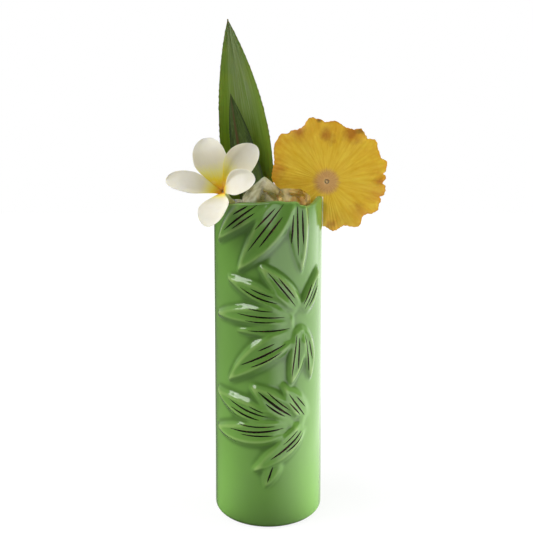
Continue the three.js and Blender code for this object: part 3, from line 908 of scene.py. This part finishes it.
def make_flower():
    points, quads, tris, us, vs, ids, hues = [], [], [], [], [], [], []
    first = 0
    for index, petal in enumerate(PETALS):
        front, back, u, v = petal_grids(petal, 40 + index)
        rows, cols = front.shape[:2]
        count = rows * cols
        quads += [grid_quads(rows, cols, first=first)[:, ::-1], grid_quads(rows, cols, first=first + count)]
        ring = border_ring(rows, cols) + first
        after = np.roll(ring, -1)
        quads.append(np.stack([ring, after, after + count, ring + count], -1))
        points += [front.reshape(-1, 3), back.reshape(-1, 3)]
        us += [u.ravel(), u.ravel()]
        vs += [v.ravel(), v.ravel()]
        ids += [np.full(2 * count, index)]
        hues += [u.ravel() / petal["yellow"], u.ravel() / petal["yellow"]]
        first += 2 * count
    rings = tube_rings()
    count, around = rings.shape[:2]
    quads.append(grid_quads(count, around, around=True, first=first))
    points += [rings.reshape(-1, 3), rings[0].mean(0)[None], rings[-1].mean(0)[None]]
    near, far = first + count * around, first + count * around + 1
    for c in range(around):
        d = (c + 1) % around
        tris.append((near, first + d, first + c))
        tris.append((far, first + (count - 1) * around + c, first + (count - 1) * around + d))
    size = count * around + 2
    us.append(np.full(size, TUBE_MARK))
    vs.append(np.zeros(size))
    ids.append(np.full(size, len(PETALS)))
    hues.append(np.full(size, TUBE_MARK))
    flower = make_mesh("plumeria", np.concatenate(points), np.concatenate(quads), tris, {
        "along": np.concatenate(us), "across": np.concatenate(vs), "petal": np.concatenate(ids),
        "hue": np.concatenate(hues)})
    finish_piece(flower, petal_material(), "flower", ["plumeria_flower"])


def petal_material():
    m = Nodes("plumeria_petal")
    along, across, which = m.attribute("along"), m.attribute("across"), m.attribute("petal")
    veins = m.noise(m.vector(m.times(across, 7.0), m.times(along, 1.6), which), 1.5, 4, 0.6)
    skin = m.noise(m.place(), 300, 3)
    shifted = m.math("ADD", m.attribute("hue"), m.times(m.math("SUBTRACT", veins, 0.5), 0.22))
    shifted = m.math("ADD", shifted, m.times(across, 0.05))
    colour = m.ramp(shifted, (0.04, srgb(228, 158, 12)), (0.15, srgb(230, 192, 16)),
                    (0.26, srgb(230, 212, 54)), (0.40, srgb(224, 218, 136)),
                    (0.56, srgb(217, 211, 186)), (0.95, srgb(221, 218, 205)))
    colour = m.mix(m.spread(skin, 0.4, 0.7, 0.0, 0.18), colour, srgb(208, 200, 176))
    stem = m.spread(along, 1.2, 1.3)
    colour = m.mix(stem, colour, srgb(206, 214, 150))
    m.set(Base_Color=colour)
    m.set(IOR=1.42, Subsurface_Weight=0.35, Subsurface_Radius=(1.0, 0.85, 0.5), Subsurface_Scale=0.0015,
          Sheen_Weight=0.15, Sheen_Roughness=0.4)
    m.set(Roughness=m.spread(skin, 0.3, 0.7, 0.42, 0.58))
    normal = m.bump(veins, 0.25, 0.0004)
    m.set(Normal=m.bump(skin, 0.12, 0.0002, normal))
    return m.material


# ------------------------------------------------------------------ dried pineapple wheel
CORE = np.array([34.4, 0, 200.9])
CORE_RADIUS = 7.4
# The outline, anticlockwise from the right: its crests and dips as (degrees, radius), and the small
# tears in it as (degrees, depth).
WHEEL_LOBES = [(3, 34.9), (10, 35.5), (18, 37.3), (24, 34.9), (32, 35.7), (39, 37.6), (48, 35.1), (57, 36.6),
               (63.5, 34), (70, 33.4), (83, 35.5), (91.5, 34.5), (97, 36.5), (105, 38.4), (115, 34.8),
               (119, 34.8), (126, 36.4), (129, 36.2), (134.5, 38.8), (141, 38.1), (162.5, 32.8), (175, 32.6),
               (187, 29.7), (212, 31.4), (228, 30.6), (246, 28.6), (267, 26.4), (279.5, 29.6),
               (291.5, 28.2), (307, 32.9), (317.5, 29.9), (322, 30.9), (325.5, 33.3), (331.5, 35),
               (337, 34.2), (352, 35.2), (356.2, 34.7), (358.7, 32.9)]
WHEEL_TEARS = [(7.7, 1.8), (46, 0.8), (344.2, 2)]
TEAR_WIDTH = 1.3
SLIT_WIDTH = 4.3
# Browned places: (x, z, spread) and their colour.
BROWN = srgb(176, 104, 20)
DARK_BROWN = srgb(96, 46, 22)
SCORCHES = [((34, 228, 5), BROWN), ((18.5, 229, 5), BROWN), ((49, 228, 6), BROWN), ((5, 208, 5), BROWN),
            ((66, 201, 4), BROWN), ((53.5, 184.5, 4.5), BROWN), ((38, 176, 3.5), BROWN),
            ((55, 230.5, 3.5), DARK_BROWN), ((29.5, 236.5, 2.2), DARK_BROWN)]
WHEEL_HALF_THICKNESS = 1.15
# How far the faces may swell from the wheel's middle plane.
WHEEL_LIMIT = 1.95
WHEEL_COLUMNS = 720
WHEEL_ROWS = 46


def wheel_outline(degrees):
    radius = eased(WHEEL_LOBES, 360, degrees)
    for place, depth in WHEEL_TEARS:
        radius = radius - depth * np.exp(-((degrees - place) / TEAR_WIDTH) ** 2)
    return radius


def wheel_grids():
    draws = np.random.default_rng(7)
    angle = np.arange(WHEEL_COLUMNS) / WHEEL_COLUMNS * 2 * math.pi
    edge = wheel_outline(np.degrees(angle))
    edge = edge + sum(draws.normal(0, 0.055) * np.sin(k * angle + draws.uniform(0, WAVE_TURN))
                      for k in range(40, 100, 6))
    t = np.linspace(0, 1, WHEEL_ROWS + 1)[1:, None] ** 0.9
    radius = t * edge[None, :]
    fold = sum(draws.normal(0, 1) * np.sin(k * angle + draws.uniform(0, WAVE_TURN) + 1.2 * t) / k ** 0.5
               for k in (3, 4, 5, 7, 9, 12))
    fibre = sum(draws.normal(0, 1) * np.sin(k * angle + draws.uniform(0, WAVE_TURN) + 0.9 * np.sin(3 * t))
                for k in range(22, 88, 6)) / 5
    crumple = sum(draws.normal(0, 1) * np.sin(k * angle + draws.uniform(0, WAVE_TURN) + j * t)
                  for k, j in ((15, 9), (19, 14), (27, 18), (33, 24), (41, 30))) / 3
    outside = smoothstep(0.25, 1.0, t)
    swell = 0.48 * fold * outside
    marks = 0.07 * fibre * smoothstep(0.15, 0.45, t) + 0.14 * crumple * smoothstep(0.55, 0.95, t)
    core_share = radius / CORE_RADIUS
    core = -0.22 * np.exp(-((core_share - 1) / 0.3) ** 2) + 0.25 * (1 - smoothstep(0.6, 1.1, core_share))
    thick = WHEEL_HALF_THICKNESS * np.sqrt(np.clip(1 - t ** 9, 0.04, 1)) + 0 * angle[None, :]
    x = CORE[0] + radius * np.cos(angle)
    z = CORE[2] + radius * np.sin(angle)
    front = np.stack([x, np.clip(swell - thick - marks - core, -WHEEL_LIMIT, WHEEL_LIMIT), z], -1)
    back = np.stack([x, np.clip(swell + thick - 0.6 * marks + core, -WHEEL_LIMIT, WHEEL_LIMIT), z], -1)
    return front, back, t + 0 * angle[None, :]


def make_wheel():
    front, back, share = wheel_grids()
    rows, cols = front.shape[:2]
    count = rows * cols
    quads = [grid_quads(rows, cols, around=True), grid_quads(rows, cols, around=True, first=count)[:, ::-1]]
    ring = (rows - 1) * cols + np.arange(cols)
    after = np.roll(ring, -1)
    quads.append(np.stack([ring, ring + count, after + count, after], -1))
    middles = [front[0].mean(0), back[0].mean(0)]
    points = np.concatenate([front.reshape(-1, 3), back.reshape(-1, 3), middles])
    tris = []
    for c in range(cols):
        d = (c + 1) % cols
        tris.append((2 * count, c, d))
        tris.append((2 * count + 1, count + d, count + c))
    reach = np.concatenate([share.ravel(), share.ravel(), [0, 0]])
    wheel = make_mesh("dried_pineapple_wheel", points, np.concatenate(quads), tris, {"reach": reach})
    cut_slit(wheel)
    finish_piece(wheel, fruit_material(), "wheel", ["pineapple_wheel"])


def cut_slit(wheel):
    """Takes out the slot that the mug's wall stands in."""
    wall = (BORE_RADIUS + RIM_RADIUS) / 2
    top = float(rim_height(HALF_TURN / 2 - 4)) + 0.3
    low, high = (wall - SLIT_WIDTH / 2, -8, 150), (wall + SLIT_WIDTH / 2, 8, top)
    corners = [(x, y, z) for x in (low[0], high[0]) for y in (low[1], high[1]) for z in (low[2], high[2])]
    sides = [(0, 1, 3, 2), (4, 6, 7, 5), (0, 4, 5, 1), (2, 3, 7, 6), (0, 2, 6, 4), (1, 5, 7, 3)]
    cutter = make_mesh("slit_cutter", corners, sides)
    cut = wheel.modifiers.new("slit", "BOOLEAN")
    cut.operation = "DIFFERENCE"
    cut.solver = "EXACT"
    cut.object = cutter
    apply_modifiers(wheel)
    bpy.data.objects.remove(cutter)


def fruit_material():
    m = Nodes("dried_pineapple")
    reach = m.attribute("reach")
    offset = m.node("VectorMath", operation="SUBTRACT")
    m.link(m.node("TexCoord").outputs["Object"], offset.inputs[0])
    offset.inputs[1].default_value = tuple(CORE * MM)
    flat = m.node("VectorMath", operation="MULTIPLY")
    m.link(offset.outputs[0], flat.inputs[0])
    flat.inputs[1].default_value = (1, 0, 1)
    aim = m.node("VectorMath", operation="NORMALIZE")
    m.link(flat.outputs[0], aim.inputs[0])
    away = m.node("VectorMath", operation="LENGTH")
    m.link(flat.outputs[0], away.inputs[0])
    radius = away.outputs["Value"]
    ray = m.node("VectorMath", operation="MULTIPLY_ADD")
    m.link(aim.outputs[0], ray.inputs[0])
    ray.inputs[1].default_value = (9, 9, 9)
    m.link(m.vector(0.0, m.times(radius, 60.0), 0.0), ray.inputs[2])
    fibres = m.noise(ray.outputs[0], 1.3, 5, 0.65)
    fine = m.noise(ray.outputs[0], 4.5, 4, 0.6)
    patch = m.noise(m.place(), 95, 4, 0.6)
    grain = m.noise(m.place(), 420, 4, 0.6)
    colour = m.mix(m.spread(fibres, 0.30, 0.70), srgb(216, 168, 22), srgb(236, 206, 66))
    colour = m.mix(m.spread(fine, 0.45, 0.75, 0, 0.5), colour, srgb(224, 190, 50))
    scorch = m.times(m.spread(patch, 0.42, 0.68), m.spread(reach, 0.60, 1.0), clamp=True)
    colour = m.mix(m.times(scorch, 0.75), colour, srgb(204, 132, 16))
    for (x, z, wide), tone in SCORCHES:
        from_spot = m.node("VectorMath", operation="DISTANCE")
        m.link(flat.outputs[0], from_spot.inputs[0])
        from_spot.inputs[1].default_value = ((x - CORE[0]) * MM, 0, (z - CORE[2]) * MM)
        ragged = m.spread(patch, 0.3, 0.7, -0.8 * wide * MM, 0.8 * wide * MM)
        rough = m.math("ADD", from_spot.outputs["Value"], ragged)
        colour = m.mix(m.spread(rough, 1.15 * wide * MM, 0.0, 0.0, 0.85), colour, tone)
    colour = m.mix(m.spread(reach, 0.96, 1.0, 0.0, 0.45), colour, srgb(206, 138, 14))
    fuzzy = m.math("ADD", radius, m.spread(fine, 0.3, 0.7, -1.6 * MM, 1.6 * MM))
    core = m.spread(fuzzy, CORE_RADIUS * MM * 1.15, CORE_RADIUS * MM * 0.75)
    heart = m.mix(m.spread(fine, 0.35, 0.65), srgb(186, 130, 66), srgb(218, 176, 112))
    heart = m.mix(m.spread(fuzzy, 2.6 * MM, 0.6 * MM, 0.0, 0.6), heart, srgb(224, 190, 140))
    colour = m.mix(core, colour, heart)
    m.set(Base_Color=colour)
    m.set(IOR=1.45, Subsurface_Weight=0.3, Subsurface_Radius=(1.0, 0.55, 0.15), Subsurface_Scale=0.002,
          Coat_Weight=0.15, Coat_Roughness=0.3)
    m.set(Roughness=m.spread(grain, 0.3, 0.7, 0.38, 0.62))
    grooves = m.times(fibres, m.spread(radius, 1.0 * MM, 4.5 * MM))
    normal = m.bump(grooves, 0.35, 0.0005)
    m.set(Normal=m.bump(grain, 0.4, 0.0004, normal))
    return m.material


# ------------------------------------------------------------------ ice
def ice_material():
    m = Nodes("cloudy_ice")
    cloud = m.noise(m.place(), 70, 3, 0.55)
    crack = m.noise(m.place((1, 1, 2)), 260, 3, 0.7)
    colour = m.mix(m.spread(cloud, 0.35, 0.65), srgb(246, 234, 184), srgb(252, 248, 226))
    # painted reflection: the ice is tinted yellow towards the pineapple wheel's side, with the wheel's
    # colour
    side = m.node("SeparateXYZ")
    m.link(m.place(), side.inputs[0])
    colour = m.mix(m.spread(side.outputs["X"], 0.002, 0.018, 0.0, 0.75), colour, srgb(240, 196, 84))
    m.set(Base_Color=colour)
    m.set(IOR=1.31, Subsurface_Weight=1.0, Subsurface_Radius=(1, 0.9, 0.7), Subsurface_Scale=0.006)
    m.set(Transmission_Weight=m.spread(cloud, 0.38, 0.62, 0.92, 0.35))
    m.set(Roughness=m.spread(crack, 0.4, 0.7, 0.04, 0.14))
    normal = m.bump(cloud, 0.06, 0.002)
    m.set(Normal=m.bump(crack, 0.05, 0.0004, normal))
    return m.material


def make_ice():
    """Each piece starts from its own cube of the frame, then melts: rounded edges, uneven faces."""
    material = ice_material()
    for name in sorted(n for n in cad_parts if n.startswith("ice_cube")):
        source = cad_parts[name]
        mesh = source.data.copy()
        mesh.materials.clear()
        piece = bpy.data.objects.new(name.replace("ice_cube", "ice_piece"), mesh)
        bpy.context.scene.collection.objects.link(piece)
        melt(piece, int(name[-1]))
        finish_piece(piece, material, "ice", [name])


ICE_VOXEL = 0.6
ICE_WAVES = 9
ICE_WAVE_SHARE = 0.005
ICE_SHRINK = 0.2


def melt(piece, seed):
    """Rounds the edges and lays a few random long waves over the faces."""
    draws = np.random.default_rng(100 + seed)
    voxel = piece.modifiers.new("remesh", "REMESH")
    voxel.mode = "VOXEL"
    voxel.voxel_size = ICE_VOXEL * MM
    apply_modifiers(piece)
    relax = piece.modifiers.new("relax", "SMOOTH")
    relax.factor = 0.8
    relax.iterations = 6
    apply_modifiers(piece)
    mesh = piece.data
    spots, normals = np.empty((2, len(mesh.vertices) * 3), np.float32)
    mesh.vertices.foreach_get("co", spots)
    mesh.vertices.foreach_get("normal", normals)
    spots, normals = spots.reshape(-1, 3), normals.reshape(-1, 3)
    depth = np.zeros(len(spots))
    for _ in range(ICE_WAVES):
        axis = unit(draws.normal(size=3))
        length = draws.uniform(0.009, 0.020)
        depth += np.sin(spots @ axis / length * 2 * math.pi + draws.uniform(0, WAVE_TURN)) * length
    depth = depth * ICE_WAVE_SHARE - ICE_SHRINK * MM
    spots = spots + normals * depth[:, None]
    mesh.vertices.foreach_set("co", spots.ravel())
    mesh.polygons.foreach_set("use_smooth", np.ones(len(mesh.polygons), bool))
    mesh.update()


# ------------------------------------------------------------------ build
RELIEF = placed_relief()
RELIEF_MAP = relief_map()
make_camera()
make_studio()
make_mug()
make_strokes()
leaf_piece("leaf_large_blade", LARGE_LEAF, 0.16, 0.25, large_leaf_material(), "leaf_large",
           "pineapple_leaf_large", 11)
leaf_piece("leaf_small_blade", SMALL_LEAF, 0.14, 0.15, small_leaf_material(), "leaf_small",
           "pineapple_leaf_small", 12)
make_flower()
make_wheel()
make_ice()
